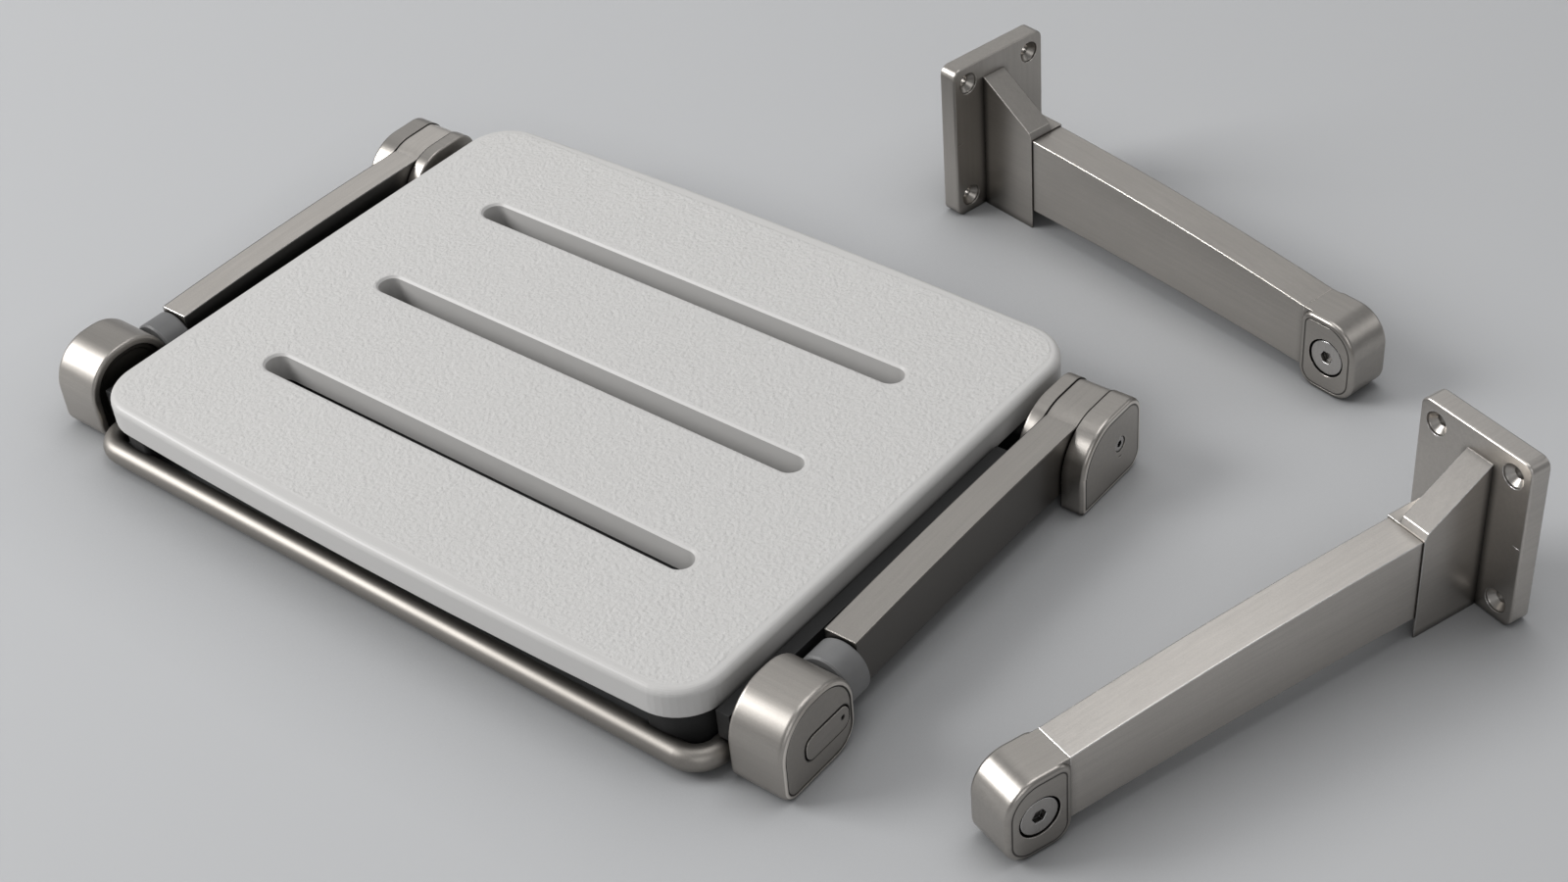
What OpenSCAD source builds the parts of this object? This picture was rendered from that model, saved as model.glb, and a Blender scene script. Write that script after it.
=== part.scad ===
// Fold down wall seat with two loose wall brackets. Millimetres, +Z up.
// The origin lies on the floor, straight below the middle of the fold axis.
// Right-hand pieces are drawn at +X and mirrored for the left-hand side.

/* [Seat slab] */
// Slab width along X
slab_w = 451; // [448:1:454]
// Slab depth along Y
slab_d = 354; // [350:1:358]
// Slab thickness
slab_t = 18.5; // [17:0.5:20]
// Height of the slab's underside above the floor
slab_z = 31.3; // [31.1:0.1:31.6]
// Slab corner radius
slab_corner_r = 30; // [26:1:34]
// Rounding of the slab's upper edge
slab_edge_r = 4.5; // [3.5:0.5:5.5]
// Rounding of the slab's lower edge
slab_foot_r = 1.6; // [1:0.2:2]
// Outward bow of the front and rear edges
slab_bow = 3.8; // [3:0.2:4.6]
// Distance the slab reaches behind the fold axis
slab_rear = 44.5; // [42:0.5:46]
// Slot length
slot_l = 320; // [300:5:330]
// Slot width
slot_w = 15.4; // [14:0.2:17]
// Distance between slot centres
slot_pitch = 91.5; // [88:0.5:95]
// Softened slot edge
slot_soft = 1.3; // [0.8:0.1:1.8]

/* [Fold axis] */
// Height of the fold axis
axis_z = 26.4; // [26:0.1:26.8]
// Journal radius of the hinge hub
hub_r = 11; // [10:0.5:12]
// Wall of the hinge bush
bush_t = 2; // [1.6:0.2:2.4]
// Running clearance between hub and bush
run_gap = 0.06; // [0.04:0.01:0.08]
// Clearance at the side of the turning eye
eye_gap = 0.3; // [0.2:0.05:0.4]

/* [Hinge housings] */
// Depth of the D-shaped hinge cheeks
hinge_d = 59; // [57:1:61]
// Height of the D-shaped hinge cheeks
hinge_h = 50; // [49:0.5:51]
// Distance from the axis to the rear of the cheeks
hinge_rear = 21.5; // [21:0.5:22]
// Gap between the slab's side and the inner cheek
cheek_gap = 7.1; // [6.9:0.1:7.3]
// Thickness of the inner cheek
cheek_t = 8.9; // [8.5:0.1:9]
// Thickness of the outer housing
hinge_t = 14.1; // [13:0.5:15]
// Rolled rim radius of housings
rim_r = 2.4; // [1.8:0.2:2.8]

/* [Side arms] */
// Width of the side arm
arm_w = 19.8; // [19:0.2:20.4]
// Room for the sleeve between the side arm and the front housing
sleeve_room = 18; // [16.5:0.5:19]
// Arm top height at the front
arm_top_front = 44; // [43:0.5:45]
// Arm top height at the eye
arm_top_rear = 46.5; // [46:0.5:47]
// Arm underside height at the front
arm_low_front = 12; // [11.5:0.5:12.5]
// Arm underside height at the eye
arm_low_rear = 10.5; // [10:0.5:11]

/* [Front housings] */
// Depth of the front housing
house_d = 53.5; // [52:0.5:55]
// Height of the front housing
house_h = 48.5; // [48:0.5:49.5]
// Width of the front housing
house_w = 33.9; // [33.5:0.1:34.5]
// Gap between the slab's side and the front housing
house_gap = 13.9; // [13.7:0.1:14.3]
// Distance from the slab's front edge back to the rear of the front housing
house_back = 72; // [71.5:0.5:73]
// Housing wall
house_wall = 3; // [2.6:0.2:3.2]

/* [Release] */
// Button length
button_l = 33.5; // [32:0.5:35]
// Button height
button_h = 14.5; // [13.5:0.5:15]
// Button centre height
button_z = 22.8; // [22.4:0.2:23.2]
// Visible gap round the button
button_gap = 0.7; // [0.5:0.05:0.8]
// Height of the push rod
rod_z = 25; // [24.8:0.1:25.2]
// Push rod radius
rod_r = 2.5; // [2.3:0.1:2.6]

/* [Frame tube] */
// Tube radius
tube_r = 7; // [6.6:0.1:7]
// Height of the tube's centre
tube_z = 9.5; // [9.2:0.1:9.5]
// Distance from the slab's side out to the tube leg's centre
leg_out = 2.5; // [1.5:0.1:2.9]
// Distance from the slab's front edge back to the front run's centre
tube_in = 6.6; // [5.5:0.1:7.5]
// Tube elbow radius at the centre line
elbow_r = 15; // [14:1:18]

/* [Wall bracket] */
// Plate width
plate_w = 75; // [72:1:77]
// Plate height
plate_h = 106; // [104:1:108]
// Plate thickness
plate_t = 12; // [11:0.5:13]
// Distance from the plate's side to its holes
hole_side = 11.5; // [11:0.5:12.5]
// Height of the lower holes
hole_low = 12; // [11.5:0.5:13]
// Distance from the plate's top to the upper holes
hole_top = 12; // [11.5:0.5:13.5]
// Screw hole radius
hole_r = 3.5; // [3:0.1:3.8]
// Countersink radius
sink_r = 6.9; // [6.6:0.1:7.2]
// Distance from the plate to the nose bolt
reach = 280; // [270:5:295]
// Wall arm width
wall_arm_w = 24; // [23:0.5:24.6]
// Nose width
nose_w = 29; // [28:0.5:30]
// Nose length
nose_l = 39; // [38:0.5:40]
// Nose height
nose_h = 50; // [49:0.5:51]
// Bolt head radius
bolt_r = 10.8; // [10.4:0.2:11]

/* [Loose brackets] */
// Bracket behind the seat, plate position X
rear_x = 60; // [56:1:64]
// Bracket behind the seat, plate position Y
rear_y = 201.2; // [198:0.4:206]
// Bracket behind the seat, turn
rear_yaw = -12; // [-13:0.5:-11]
// Bracket on the right, distance of its plate from the slab's side
side_out = 240.9; // [237:0.3:245.1]
// Bracket on the right, plate position Y
side_y = 20.5; // [16:0.5:24]
// Bracket on the right, turn
side_yaw = -109; // [-110:0.5:-108]

/* [Hidden] */
cut = 1;
seat_fit = 0.05;
round_fn = 96;
far_fn = 1440;
wire_fn = 48;
puck_fn = 48;
edge_fn = 24;
hex_fn = 6;
quarter = 90;
half_turn = 180;

slab_y = slab_rear - slab_d / 2;
slab_front = slab_d - slab_rear;
slab_side = slab_w / 2;
slab_top = slab_z + slab_t;
cheek_x = slab_side + cheek_gap;
house_x = slab_side + house_gap;
house_rear = slab_front - house_back;
arm_front = house_rear - sleeve_room;
leg_x = slab_side + leg_out;
tube_front = slab_front - tube_in;
side_x = slab_side + side_out;
hole_u = plate_w / 2 - hole_side;
hole_high = plate_h - hole_top;
bow_shares = [-1, -0.66, -0.33, 0, 0.33, 0.66, 1];
side_bow = 0.6;
slot_shares = [-1, 0, 1];

// D-shaped cheeks: front bottom, rear bottom, rear top, front top
hinge_radii = [3, 12, 13, 30];
cheek_edge_r = 1;
eye_inset = 0.4;
eye_r = 25.8;
eye_x = cheek_x + cheek_t + eye_gap;
hinge_x = eye_x + arm_w + eye_gap;
arm_x = eye_x + arm_w / 2;
pivot_r = 4;
hub_bore_r = pivot_r + seat_fit;
pivot_head_r = 4.4;
pivot_head_t = 4;
pivot_recess_r = 4.9;
pivot_recess_t = 4.4;
pivot_tip = 6;
pivot_hex_r = 2.3;
pivot_hex_t = 2.4;
mark_l = 2.4;
mark_h = 0.8;
mark_t = 0.5;
mark_drop = 8.5;
foot_hole_r = 2.5;
foot_hole_t = 10;
foot_hole_ys = [-25, 6];

tie_front = 14;
tie_rear = 3;
tie_h = 18;
tie_edge = 1.5;
tie_screw_ys = [-10, -1.5];
tie_screw_z = 8;
tie_screw_r = 2;
tie_head_r = 3.6;
tie_head_t = 3;
tie_screw_l = 14;

arm_end_y = -8;
arm_bow_top = 1.6;
arm_bow_low = 1.2;
arm_join_y = -24;
rod_play = 0.6;
rod_bore_r = rod_r + rod_play;
spigot_r = 8;
spigot_l = 25;
shoe_s = 8;
shoe_gap = 0.1;
shoe_front = 24;
shoe_lift = 0.2;
pocket_front = 26.6;

// Front housing: front bottom, rear bottom, rear top, front top
house_radii = [3, 7, 11, 29];
house_front = house_rear + house_d;
house_out = house_x + house_w;
lid_inset = 5.5;
lid_t = 2;
lid_drop = 2;
cave_front = 7;
cave_rear = 2.5;
cave_low = 6;
cave_drop = 12.5;
cave_high = house_h - cave_drop;
cave_r = 4;
neck_z = 26.5;
neck_r = 11;
sleeve_out = 2;
sleeve_r = 16.2;
sleeve_edge = 1;
sleeve_end = 0.3;
neck_gap = 0.05;

button_in = 22.5;
button_y = -house_rear - button_in;
button_radii = [5.6, 5.6, 5.6, 5.6];
button_stop = 0.1;
flange_t = 2;
flange_lip = 1.6;
dot_r = 1.1;
dot_t = 1.5;
dot_back = 6.4;
dot_up = 0.6;
wedge_in = 4.7;
wedge_tip = arm_x - wedge_in;
wedge_share = 0.5;
wedge_start = 26.5;
wedge_d = 8;
wedge_front = house_rear + wedge_start;
wedge_back = wedge_front - wedge_d;
wedge_gap = 0.1;
tine_low = 2.8;
tine_high = 6;
head_half = 4;
head_d = 8;
head_front = wedge_front + head_d;
collar_r = 5.5;
collar_in = 13.5;
collar_front = arm_front - collar_in;
collar_t = 3;
spring_bore_r = 6.2;
spring_in = 3.5;
spring_front = house_rear - spring_in;
spring_gap = 2.2;
spring_rear = collar_front + spring_gap;
spring_r = 4.6;
wire_r = 1.1;
spring_turns = 14;

rail_gap = 1.5;
rail_in = slab_side + rail_gap;
rail_t = 8.4;
rail_out = rail_in + rail_t;
rail_low = 18;
rail_lip = 4.7;
rail_high = slab_z + rail_lip;
rail_foot_h = 6;
flange_w = 22;
flange_in = rail_in - flange_w;
rail_flange_t = 3.8;
rail_set = 21.5;
rail_front = slab_front - rail_set;
rail_clear = 10.1;
rail_rear = hinge_d - hinge_rear + rail_clear;
rail_hole_ins = [64.5, 109.5];
rail_hole_ys = [for (s = rail_hole_ins) s - arm_front];
rail_screw_z = 21;
rail_screw_r = 2;
rail_head_r = 3.4;
rail_head_t = 2.6;
rail_tip = 5.5;

bar_t = 3;
bar_d = 24;
bar_set = 47.5;
bar_front_in = 45.5;
bar_rear_in = 46.5;
bar_ys = [bar_set - slab_front, slab_y - bar_front_in, slab_y + bar_rear_in];
slab_screw_in = 9.5;
slab_screw_x = slab_side - slab_screw_in;
slab_screw_r = 2.5;
slab_head_r = 4.4;
slab_head_t = 2.6;
slab_bite = 8;

back_bar_d = 14;
back_bar_gap = 0.4;
back_bar_rear = rail_rear + back_bar_gap;
tube_back = back_bar_rear + back_bar_d;
back_bar_edge = 1.5;
back_bar_end = 1;
pad_side = 4.5;
pad_w = 31;
pad_out = slab_side - pad_side;
pad_in = pad_out - pad_w;
pad_set = 9.5;
pad_d = 25.5;
pad_front = slab_front - pad_set;
pad_rear = pad_front - pad_d;
pad_low = tube_z;
pad_radii = [3, 22, 3, 3];

sink_flat = 1.4;
sink_t = 3.4;
plate_r = 6;
plate_edge = 1.2;
block_wall = 1;
block_w = wall_arm_w + 2 * block_wall;
block_l = 42;
block_h = 65;
gusset_w = 17.5;
gusset_drop = 13;
gusset_top = plate_h - gusset_drop;
gusset_flat = 2;
gusset_end = block_l - gusset_flat;
gusset_rise = 4;
gusset_lip = block_h + gusset_rise;
root_in = 24;
wall_arm_top = block_h - block_wall;
wall_arm_low = 13;
nose_low = 9.6;
nose_fill = 11;
arch = 2.6;
arch_low = 1.8;
// Nose: rear bottom, front bottom, front top, rear top
nose_radii = [12, 14, 20, 8];
nose_back = nose_l / 2;
bolt_z = nose_h / 2;
lug_below = 11;
lug_above = 16;
lug_low = bolt_z - lug_below;
lug_high = bolt_z + lug_above;
lug_tip = 10;
bolt_shaft_r = 5;
bolt_head_t = 5;
bolt_ring = 1.3;
bolt_recess_t = 5.6;
bolt_hex_r = 4.3;
bolt_hex_t = 3;
nut_r = 9;
nut_t = 6;
nut_recess = 6.6;
nut_ring = 1;
line_z = plate_h / 2;
line_l = 4;
line_t = 0.4;

// Helpers

function swap_mid(p, q) = (p + q) / 2;
function arc_r(p, q, s) = (norm(q - p) * norm(q - p) / 4 + s * s) / (2 * s);
function up_of(p, q) = [p[1] - q[1], q[0] - p[0]] / norm(q - p);
function arc_c(p, q, s) = swap_mid(p, q) - up_of(p, q) * (arc_r(p, q, s) - s);

// Disc whose upper edge runs through p and q with sagitta s
module arc_disc(p, q, s)
    translate(arc_c(p, q, s)) circle(r = arc_r(p, q, s), $fn = far_fn);

// Draws a profile of the YZ plane, extruded toward +X from x
module side_up(x) translate([x, 0, 0]) rotate([quarter, 0, quarter]) children();

// Cylinder along +X, about a centre in YZ
module pin_x(x, l, r, y, z, fn = round_fn)
    translate([x, y, z]) rotate([0, quarter, 0]) cylinder(h = l, r = r, $fn = fn);

// Cylinder along +Y from y
module pin_y(x, y, z, l, r)
    translate([x, y, z]) rotate([-quarter, 0, 0]) cylinder(h = l, r = r, $fn = round_fn);

module pie(r)
    intersection() {
        circle(r = r, $fn = round_fn);
        translate([-r, -r]) square(r);
    }

// Rectangle with four unlike corner radii, from the lower left counter-clockwise
module profile(w, h, r)
    union() {
        polygon([[r[0], 0], [w - r[1], 0], [w, r[1]], [w, h - r[2]],
            [w - r[2], h], [r[3], h], [0, h - r[3]], [0, r[0]]]);
        translate([r[0], r[0]]) pie(r[0]);
        translate([w - r[1], r[1]]) rotate(quarter) pie(r[1]);
        translate([w - r[2], h - r[2]]) rotate(half_turn) pie(r[2]);
        translate([r[3], h - r[3]]) rotate(-quarter) pie(r[3]);
    }

function less(r, f) = [for (v = r) v - f];

module edge_run(p, q, f)
    translate([p[0], p[1], 0])
        rotate([quarter, 0, quarter + atan2(q[1] - p[1], q[0] - p[0])])
            cylinder(h = norm([q[0] - p[0], q[1] - p[1]]), r = f, $fn = wire_fn);

module edge_turn(c, r, f, a)
    translate([c[0], c[1], 0]) rotate(a)
        rotate_extrude(angle = quarter, $fn = round_fn)
            if (r > 2 * f)
                translate([r - f, 0]) circle(r = f, $fn = wire_fn);
            else
                intersection() {
                    translate([r - f, 0]) circle(r = f, $fn = wire_fn);
                    translate([0, -2 * f]) square([r + f, 4 * f]);
                }

// Plate of a profile whose far face has a rolled rim of radius f
module rim_plate(w, h, r, t, f)
    union() {
        linear_extrude(t - f) profile(w, h, r);
        translate([f, f, 0]) linear_extrude(t) profile(w - 2 * f, h - 2 * f, less(r, f));
        translate([0, 0, t - f]) {
            edge_run([r[0], f], [w - r[1], f], f);
            edge_run([w - f, r[1]], [w - f, h - r[2]], f);
            edge_run([r[3], h - f], [w - r[2], h - f], f);
            edge_run([f, r[0]], [f, h - r[3]], f);
            edge_turn([r[0], r[0]], r[0], f, half_turn);
            edge_turn([w - r[1], r[1]], r[1], f, -quarter);
            edge_turn([w - r[2], h - r[2]], r[2], f, 0);
            edge_turn([r[3], h - r[3]], r[3], f, quarter);
        }
    }

module stadium(l, w)
    union() {
        translate([-l / 2 + w / 2, -w / 2]) square([l - w, w]);
        for (s = [-1, 1]) translate([s * (l - w) / 2, 0]) circle(r = w / 2, $fn = round_fn);
    }

module on_left() mirror([1, 0, 0]) children();

// Seat slab

module slab_puck()
    rotate_extrude($fn = puck_fn)
        union() {
            square([slab_corner_r - slab_edge_r, slab_t]);
            translate([0, slab_foot_r])
                square([slab_corner_r, slab_t - slab_edge_r - slab_foot_r]);
            translate([slab_corner_r - slab_edge_r, slab_t - slab_edge_r])
                circle(r = slab_edge_r, $fn = edge_fn);
            translate([slab_corner_r - slab_foot_r, slab_foot_r])
                circle(r = slab_foot_r, $fn = edge_fn);
        }

module slab_body() {
    half_w = slab_w / 2 - slab_corner_r - side_bow;
    half_d = slab_d / 2 - slab_corner_r - slab_bow;
    hull() {
        for (s = bow_shares, t = [-1, 1])
            translate([s * half_w, t * (half_d + slab_bow * (1 - s * s)), 0]) slab_puck();
        for (s = [-1, 1])
            translate([s * (half_w + side_bow), 0, 0]) slab_puck();
    }
}

module slot_cut() {
    straight = slot_l - slot_w;
    wide = slot_w / 2 + slot_soft;
    translate([0, 0, -cut]) linear_extrude(slab_t + 2 * cut) stadium(slot_l, slot_w);
    for (s = [-1, 1])
        translate([s * straight / 2, 0, slab_t - slot_soft])
            cylinder(h = slot_soft + slot_soft, r1 = slot_w / 2, r2 = wide + slot_soft,
                $fn = round_fn);
    translate([-straight / 2, 0, slab_t - slot_soft]) rotate([quarter, 0, quarter])
        linear_extrude(straight)
            polygon([[-slot_w / 2, 0], [slot_w / 2, 0],
                [wide + slot_soft, 2 * slot_soft], [-wide - slot_soft, 2 * slot_soft]]);
}

module slab_screw_spots()
    for (s = [-1, 1], y = bar_ys) translate([s * slab_screw_x, y, slab_z]) children();

module seat_slab()
    color([0.84, 0.83, 0.81])
        difference() {
            translate([0, slab_y, slab_z]) slab_body();
            for (s = slot_shares) translate([0, slab_y + s * slot_pitch, slab_z]) slot_cut();
            slab_screw_spots()
                translate([0, 0, -cut])
                    cylinder(h = slab_bite + cut, r = slab_screw_r + seat_fit, $fn = wire_fn);
        }

module slab_screws()
    color([0.45, 0.45, 0.46])
        slab_screw_spots() {
            drop = rail_flange_t + bar_t;
            translate([0, 0, -drop])
                cylinder(h = drop + slab_bite - seat_fit, r = slab_screw_r, $fn = wire_fn);
            translate([0, 0, -drop - slab_head_t])
                cylinder(h = slab_head_t, r = slab_head_r, $fn = wire_fn);
        }

// Frame under the slab

module front_bar()
    color([0.66, 0.64, 0.61])
        union() {
            pin_x(elbow_r - leg_x, 2 * (leg_x - elbow_r), tube_r, -tube_front, tube_z);
            for (s = [0, 1]) mirror([s, 0, 0]) {
                pin_y(leg_x, elbow_r - tube_front, tube_z, tube_front - elbow_r - tube_back, tube_r);
                translate([leg_x - elbow_r, elbow_r - tube_front, tube_z])
                    rotate([0, 0, -quarter])
                        rotate_extrude(angle = quarter, $fn = round_fn)
                            translate([elbow_r, 0]) circle(r = tube_r, $fn = round_fn);
            }
        }

module rear_bar()
    color([0.2, 0.2, 0.21])
        translate([back_bar_end - cheek_x, 0, 0]) rotate([quarter, 0, quarter])
            linear_extrude(2 * (cheek_x - back_bar_end))
                translate([-tube_back, tube_z - tube_r])
                    profile(back_bar_d, rail_low - tube_z + tube_r,
                        [back_bar_edge, back_bar_edge, back_bar_edge, back_bar_edge]);

module cross_bars()
    color([0.3, 0.3, 0.31])
        for (y = bar_ys)
            difference() {
                translate([-rail_in, y - bar_d / 2, slab_z - rail_flange_t - bar_t])
                    cube([2 * rail_in, bar_d, bar_t]);
                for (s = [-1, 1])
                    translate([s * slab_screw_x, y, slab_z - rail_flange_t - bar_t - cut])
                        cylinder(h = bar_t + 2 * cut, r = slab_screw_r + seat_fit, $fn = wire_fn);
            }

module corner_pads()
    color([0.12, 0.12, 0.12])
        for (s = [0, 1]) mirror([s, 0, 0])
            difference() {
                translate([pad_in, -pad_front, pad_low])
                    linear_extrude(slab_z - pad_low)
                        profile(pad_out - pad_in, pad_front - pad_rear, pad_radii);
                pin_x(pad_in - cut, pad_out, tube_r + seat_fit, -tube_front, tube_z);
                translate([leg_x - elbow_r, elbow_r - tube_front, tube_z])
                    rotate([0, 0, -quarter])
                        rotate_extrude(angle = quarter, $fn = round_fn)
                            translate([elbow_r, 0]) circle(r = tube_r + seat_fit, $fn = round_fn);
                pin_y(leg_x, elbow_r - tube_front, tube_z, pad_front, tube_r + seat_fit);
            }

module rail_right()
    color([0.1, 0.1, 0.1])
        difference() {
            union() {
                translate([rail_in, -rail_front, rail_low])
                    cube([rail_out - rail_in, rail_front - rail_rear, rail_high - rail_low]);
                translate([flange_in, bar_ys[0] - bar_d / 2, slab_z - rail_flange_t])
                    cube([rail_in - flange_in, bar_d / 2 - bar_ys[0] - rail_rear, rail_flange_t]);
                translate([rail_out, -arm_front, rail_low])
                    cube([eye_x - rail_out, arm_front - rail_rear, rail_foot_h]);
            }
            for (y = bar_ys)
                translate([slab_screw_x, y, slab_z - rail_flange_t - cut])
                    cylinder(h = rail_flange_t + 2 * cut, r = slab_screw_r + seat_fit, $fn = wire_fn);
            for (y = rail_hole_ys)
                pin_x(rail_in - cut, eye_x - rail_in + 2 * cut, rail_screw_r + seat_fit, y,
                    rail_screw_z, wire_fn);
        }
module rail_left() on_left() rail_right();

module rail_screws()
    color([0.4, 0.4, 0.41])
        for (s = [0, 1], y = rail_hole_ys) mirror([s, 0, 0]) {
            pin_x(rail_in, eye_x + rail_tip - rail_in, rail_screw_r, y, rail_screw_z, wire_fn);
            pin_x(rail_in - rail_head_t, rail_head_t, rail_head_r, y, rail_screw_z, wire_fn);
        }

// Side arms and hinge eyes

module hinge_profile(f)
    translate([hinge_rear - hinge_d + f, f])
        profile(hinge_d - 2 * f, hinge_h - 2 * f, less(hinge_radii, f));

module arm_band() {
    top_a = [-arm_front, arm_top_front];
    top_b = [arm_join_y, arm_top_rear];
    low_a = [-arm_front, arm_low_front];
    low_b = [arm_join_y, arm_low_rear];
    difference() {
        intersection() {
            translate([-arm_front, 0]) square([arm_front + arm_end_y, hinge_h]);
            arc_disc(top_a, top_b, arm_bow_top);
        }
        arc_disc(low_a, low_b, arm_bow_low);
    }
}

module arm_side()
    union() {
        arm_band();
        intersection() {
            hinge_profile(eye_inset);
            translate([0, axis_z]) circle(r = eye_r, $fn = round_fn);
        }
        intersection() {
            hinge_profile(eye_inset);
            translate([-hinge_d, axis_z]) square([hinge_d, hinge_h]);
        }
    }

module side_arm_right()
    color([0.64, 0.62, 0.59])
        difference() {
            side_up(eye_x) linear_extrude(arm_w) arm_side();
            pin_x(eye_x - cut, arm_w + 2 * cut, hub_r + bush_t + seat_fit, 0, axis_z);
            pin_y(arm_x, -arm_front - cut, rod_z, arm_front, rod_bore_r);
            pin_y(arm_x, -arm_front - cut, rod_z, spigot_l + cut + seat_fit, spigot_r + seat_fit);
            translate([arm_x - shoe_s / 2 - shoe_gap, -pocket_front, rod_z - shoe_s / 2 - shoe_gap])
                cube([shoe_s + 2 * shoe_gap, pocket_front, shoe_s + 2 * shoe_gap]);
            for (y = rail_hole_ys)
                pin_x(eye_x - cut, rail_tip + cut + seat_fit, rail_screw_r + seat_fit, y,
                    rail_screw_z, wire_fn);
        }
module side_arm_left() on_left() side_arm_right();

module bush_right()
    color([0.3, 0.29, 0.27])
        difference() {
            pin_x(eye_x, arm_w, hub_r + bush_t, 0, axis_z);
            pin_x(eye_x - cut, arm_w + 2 * cut, hub_r + run_gap, 0, axis_z);
            translate([arm_x - shoe_s / 2 - shoe_gap, -pocket_front, rod_z - shoe_s / 2 - shoe_gap])
                cube([shoe_s + 2 * shoe_gap, pocket_front, shoe_s + 2 * shoe_gap]);
        }
module bush_left() on_left() bush_right();

// Sleeve between arm and front housing

module sleeve_right() {
    run = house_rear - arm_front - 2 * sleeve_end;
    color([0.33, 0.34, 0.35])
        translate([arm_x + sleeve_out, -house_rear + sleeve_end, neck_z]) rotate([-quarter, 0, 0])
            difference() {
                union() {
                    translate([0, 0, sleeve_edge])
                        cylinder(h = run - 2 * sleeve_edge, r = sleeve_r, $fn = round_fn);
                    cylinder(h = sleeve_edge, r1 = sleeve_r - sleeve_edge, r2 = sleeve_r,
                        $fn = round_fn);
                    translate([0, 0, run - sleeve_edge])
                        cylinder(h = sleeve_edge, r1 = sleeve_r, r2 = sleeve_r - sleeve_edge,
                            $fn = round_fn);
                }
                translate([0, 0, -cut])
                    cylinder(h = run + 2 * cut, r = neck_r + neck_gap, $fn = round_fn);
            }
}
module sleeve_left() on_left() sleeve_right();

// Front housing with its lid

module cave_profile()
    translate([-house_front + cave_front, cave_low])
        profile(house_d - cave_front - cave_rear, cave_high - cave_low,
            [cave_r, cave_r, cave_r, cave_r]);

module lid_profile(f)
    translate([-house_front + lid_inset + f, lid_inset + f])
        profile(house_d - 2 * lid_inset - 2 * f, house_h - 2 * lid_inset - 2 * f,
            [cave_r, cave_r, house_radii[2] - lid_inset, house_radii[3] - lid_inset]);

module button_profile(f)
    translate([button_y - button_l / 2 - f, button_z - button_h / 2 - f])
        profile(button_l + 2 * f, button_h + 2 * f, less(button_radii, -f));

module front_housing_right()
    color([0.66, 0.64, 0.61])
        difference() {
            union() {
                translate([house_x, -house_front, 0]) rotate([quarter, 0, quarter])
                    rim_plate(house_d, house_h, house_radii, house_w, rim_r);
                pin_y(arm_x + sleeve_out, -house_rear - cut, neck_z, house_rear - arm_front + cut, neck_r);
                pin_y(arm_x, -house_rear - cut, rod_z,
                    house_rear - arm_front + spigot_l + cut, spigot_r);
            }
            side_up(house_x - cut) linear_extrude(lid_drop + lid_t + cut) lid_profile(0);
            side_up(house_x + lid_drop)
                linear_extrude(house_w - lid_drop - house_wall) cave_profile();
            side_up(house_out - house_wall - cut) linear_extrude(house_wall + 2 * cut)
                button_profile(button_gap);
            pin_y(arm_x, -house_rear - spigot_l, rod_z, 2 * spigot_l, rod_r + neck_gap + wedge_gap);
            pin_y(arm_x, -spring_front, rod_z, spring_front, spring_bore_r);
        }
module front_housing_left() on_left() front_housing_right();

module housing_lid_right()
    color([0.16, 0.16, 0.16])
        side_up(house_x + lid_drop) linear_extrude(lid_t) lid_profile(seat_fit);
module housing_lid_left() on_left() housing_lid_right();

// Release button with forked wedge, push rod and brake shoe

function ramp(x) = -wedge_front - wedge_share * (x - arm_x);

module tine(low, high) {
    base = house_out - house_wall - button_stop - flange_t;
    translate([0, 0, low]) linear_extrude(high - low)
        polygon([[wedge_tip, ramp(wedge_tip)], [wedge_tip, -wedge_back],
            [base + cut, -wedge_back], [base + cut, ramp(base)], [base, ramp(base)]]);
}

module button_right() {
    base = house_out - house_wall - button_stop - flange_t;
    color([0.62, 0.6, 0.57])
        difference() {
            union() {
                side_up(base + cut) linear_extrude(house_out - base - cut) button_profile(0);
                side_up(base) linear_extrude(flange_t) button_profile(flange_lip);
                tine(rod_z + tine_low, rod_z + tine_high);
                tine(rod_z - tine_high, rod_z - tine_low);
            }
            pin_x(house_out - dot_t, dot_t + cut, dot_r, button_y + button_l / 2 - dot_back / 2 - dot_t,
                button_z + dot_up, wire_fn);
        }
}
module button_left() on_left() button_right();

module push_rod_right()
    color([0.5, 0.5, 0.5])
        union() {
            translate([0, 0, rod_z - tine_high]) linear_extrude(2 * tine_high)
                polygon([[arm_x - head_half, -head_front],
                    [arm_x - head_half, ramp(arm_x - head_half) - wedge_gap],
                    [arm_x + head_half, ramp(arm_x + head_half) - wedge_gap],
                    [arm_x + head_half, -head_front]]);
            pin_y(arm_x, -wedge_front - head_half, rod_z, wedge_front + head_half - shoe_front, rod_r);
            pin_y(arm_x, -collar_front, rod_z, collar_t, collar_r);
        }
module push_rod_left() on_left() push_rod_right();

module rod_spring_right() {
    pitch = (spring_front - spring_rear - 2 * wire_r) / (spring_turns - 1);
    color([0.6, 0.6, 0.61])
        translate([arm_x, -spring_front + wire_r, rod_z]) rotate([-quarter, 0, 0])
            for (i = [0 : spring_turns - 1])
                translate([0, 0, i * pitch])
                    rotate_extrude($fn = round_fn)
                        translate([spring_r, 0]) circle(r = wire_r, $fn = wire_fn);
}
module rod_spring_left() on_left() rod_spring_right();

module brake_shoe_right()
    color([0.2, 0.2, 0.2])
        difference() {
            translate([arm_x - shoe_s / 2, -shoe_front, rod_z - shoe_s / 2])
                cube([shoe_s, shoe_front - hub_r / 2, shoe_s]);
            pin_x(eye_x, arm_w, hub_r + shoe_lift, 0, axis_z);
        }
module brake_shoe_left() on_left() brake_shoe_right();

// Hinge, fixed half

module foot_holes(x)
    for (y = foot_hole_ys)
        translate([x, y, -cut]) cylinder(h = foot_hole_t + cut, r = foot_hole_r, $fn = wire_fn);

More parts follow.
